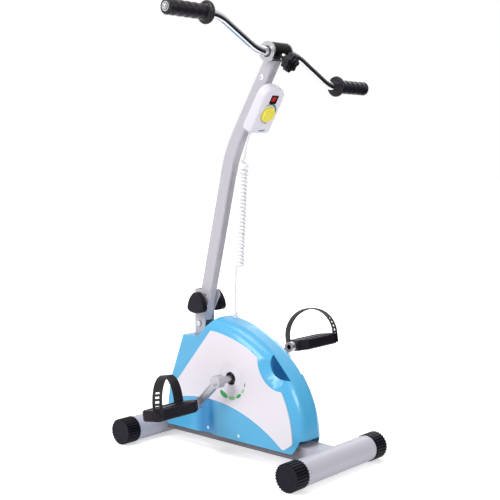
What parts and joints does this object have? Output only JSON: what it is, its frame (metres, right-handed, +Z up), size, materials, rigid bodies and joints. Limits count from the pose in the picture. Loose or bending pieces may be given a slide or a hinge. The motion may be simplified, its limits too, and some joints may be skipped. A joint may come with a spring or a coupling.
{
  "type": "active passive trainer",
  "caption": "Motorised pedal trainer with strapped pedals, a hand crank on a leaning mast, a moulded housing and a handset on a curly cord.",
  "frame": {"origin": "on the floor, midway between the two stabiliser tubes and midway across", "axes": "+Z up, +X to the right of the seated user, +Y away from the user towards the mast's foot"},
  "size_m": [0.6642, 0.562, 0.9776],
  "materials": {
    "stabiliser": "satin",
    "cap_grey": "matt",
    "mast_paint": "gloss",
    "blue_shell": "gloss",
    "white_panel": "gloss",
    "black_plastic": "satin",
    "grip_rubber": "matt",
    "chrome": "polished",
    "crank_paint": "satin",
    "steel": "satin",
    "dark_metal": "satin",
    "pulley_plastic": "satin",
    "board_green": "satin",
    "handset_white": "gloss",
    "switch_red": "gloss",
    "knob_yellow": "gloss",
    "cord_white": "satin"
  },
  "bodies": {
    "base": {"stabiliser_mast_end": "stabiliser", "stabiliser_user_end": "stabiliser", "end_cap_mast_end_left": "cap_grey", "end_cap_mast_end_right": "cap_grey", "end_cap_user_end_left": "cap_grey", "end_cap_user_end_right": "cap_grey", "frame_beam": "stabiliser", "mast_bracket": "mast_paint", "clamp_bolt": "steel", "spacer_bolt": "steel", "shell_left": "blue_shell", "shell_right": "blue_shell", "side_panel_left": "white_panel", "side_panel_right": "white_panel", "axle_seal_left": "black_plastic", "axle_seal_right": "black_plastic", "axle_stand": "dark_metal", "crank_bearing_left": "steel", "crank_bearing_right": "steel", "gear_motor": "dark_metal", "motor_mount": "dark_metal", "drive_belt": "grip_rubber", "control_board": "board_green", "cable_gland": "black_plastic", "cord_strain_relief": "handset_white", "skirt_screws": "steel", "cord_coil": "cord_white", "cord_lower_lead": "cord_white", "cord_upper_lead": "cord_white"},
    "mast": {"mast_tube": "mast_paint", "mast_foot_plug": "black_plastic", "mast_screw": "steel", "handle_bearing": "mast_paint", "bearing_sleeve": "black_plastic", "handle_bush_left": "black_plastic", "handle_bush_right": "black_plastic", "handset_holder": "black_plastic"},
    "handset": {"handset_back": "handset_white", "handset_front": "handset_white", "handset_gland": "handset_white", "switch_bezel": "black_plastic"},
    "rocker": {"rocker_switch": "switch_red"},
    "speed_dial": {"speed_knob": "knob_yellow"},
    "hand_crank": {"handlebar": "chrome", "handlebar_end_bolts": "steel"},
    "left_grip": {"grip_left": "grip_rubber"},
    "right_grip": {"grip_right": "grip_rubber"},
    "left_clamp_knob": {"clamp_knob_left": "black_plastic"},
    "right_clamp_knob": {"clamp_knob_right": "black_plastic"},
    "star_knob": {"friction_knob": "black_plastic"},
    "crankset": {"crank_axle": "chrome", "crank_arm_left": "crank_paint", "crank_arm_right": "crank_paint", "pedal_spindles": "chrome", "drive_pulley": "pulley_plastic"},
    "left_pedal": {"pedal_left": "black_plastic", "strap_left": "grip_rubber"},
    "right_pedal": {"pedal_right": "black_plastic", "strap_right": "grip_rubber"},
    "motor_shaft": {"motor_pulley": "steel"}
  },
  "joints": [
    {"name": "mast_tilt", "type": "hinge", "parent": "base", "child": "mast", "pos_m": [0, 0.1205, 0.331], "axis": [-1, 0, 0], "range_deg": [0, 19], "deforming": ["cord_upper_lead", "cord_coil", "cord_lower_lead"]},
    {"name": "handset_slide", "type": "slide", "parent": "mast", "child": "handset", "axis": [0, -0.515, 0.8572], "range_m": [0, 0.02], "deforming": ["cord_upper_lead", "cord_coil", "cord_lower_lead"]},
    {"name": "rocker_tilt", "type": "hinge", "parent": "handset", "child": "rocker", "pos_m": [0, -0.08, 0.7935], "axis": [-1, 0, 0], "range_deg": [0, 17]},
    {"name": "speed_turn", "type": "hinge", "parent": "handset", "child": "speed_dial", "pos_m": [0, -0.06483, 0.76167], "axis": [0, -0.8572, -0.515], "range_deg": [0, 270]},
    {"name": "hand_crank_turn", "type": "hinge", "parent": "mast", "child": "hand_crank", "pos_m": [0, -0.0893, 0.89209], "axis": [1, 0, 0], "continuous": true},
    {"name": "grip_left_spin", "type": "hinge", "parent": "hand_crank", "child": "left_grip", "pos_m": [-0.27, -0.0893, 0.95409], "axis": [1, 0, 0], "continuous": true},
    {"name": "grip_right_spin", "type": "hinge", "parent": "hand_crank", "child": "right_grip", "pos_m": [0.27, -0.0893, 0.83009], "axis": [1, 0, 0], "continuous": true},
    {"name": "clamp_left_turn", "type": "hinge", "parent": "base", "child": "left_clamp_knob", "pos_m": [-0.028, 0.1205, 0.331], "axis": [-1, 0, 0], "range_deg": [0, 360]},
    {"name": "clamp_right_turn", "type": "hinge", "parent": "base", "child": "right_clamp_knob", "pos_m": [0.028, 0.1205, 0.331], "axis": [1, 0, 0], "range_deg": [0, 360]},
    {"name": "star_knob_turn", "type": "hinge", "parent": "mast", "child": "star_knob", "pos_m": [0, -0.12187, 0.87252], "axis": [0, -0.8572, -0.515], "range_deg": [0, 360]},
    {"name": "crank_turn", "type": "hinge", "parent": "base", "child": "crankset", "pos_m": [0, 0.002, 0.176], "axis": [1, 0, 0], "continuous": true},
    {"name": "pedal_left_spin", "type": "hinge", "parent": "crankset", "child": "left_pedal", "pos_m": [-0.175, 0.0614, 0.1166], "axis": [1, 0, 0], "continuous": true},
    {"name": "pedal_right_spin", "type": "hinge", "parent": "crankset", "child": "right_pedal", "pos_m": [0.175, -0.0574, 0.2354], "axis": [1, 0, 0], "continuous": true},
    {"name": "motor_turn", "type": "hinge", "parent": "base", "child": "motor_shaft", "pos_m": [0.03, -0.095, 0.098], "axis": [1, 0, 0], "continuous": true}
  ],
  "couplings": [
    {"joint": "motor_turn", "follows": "crank_turn", "ratio": 4}
  ]
}
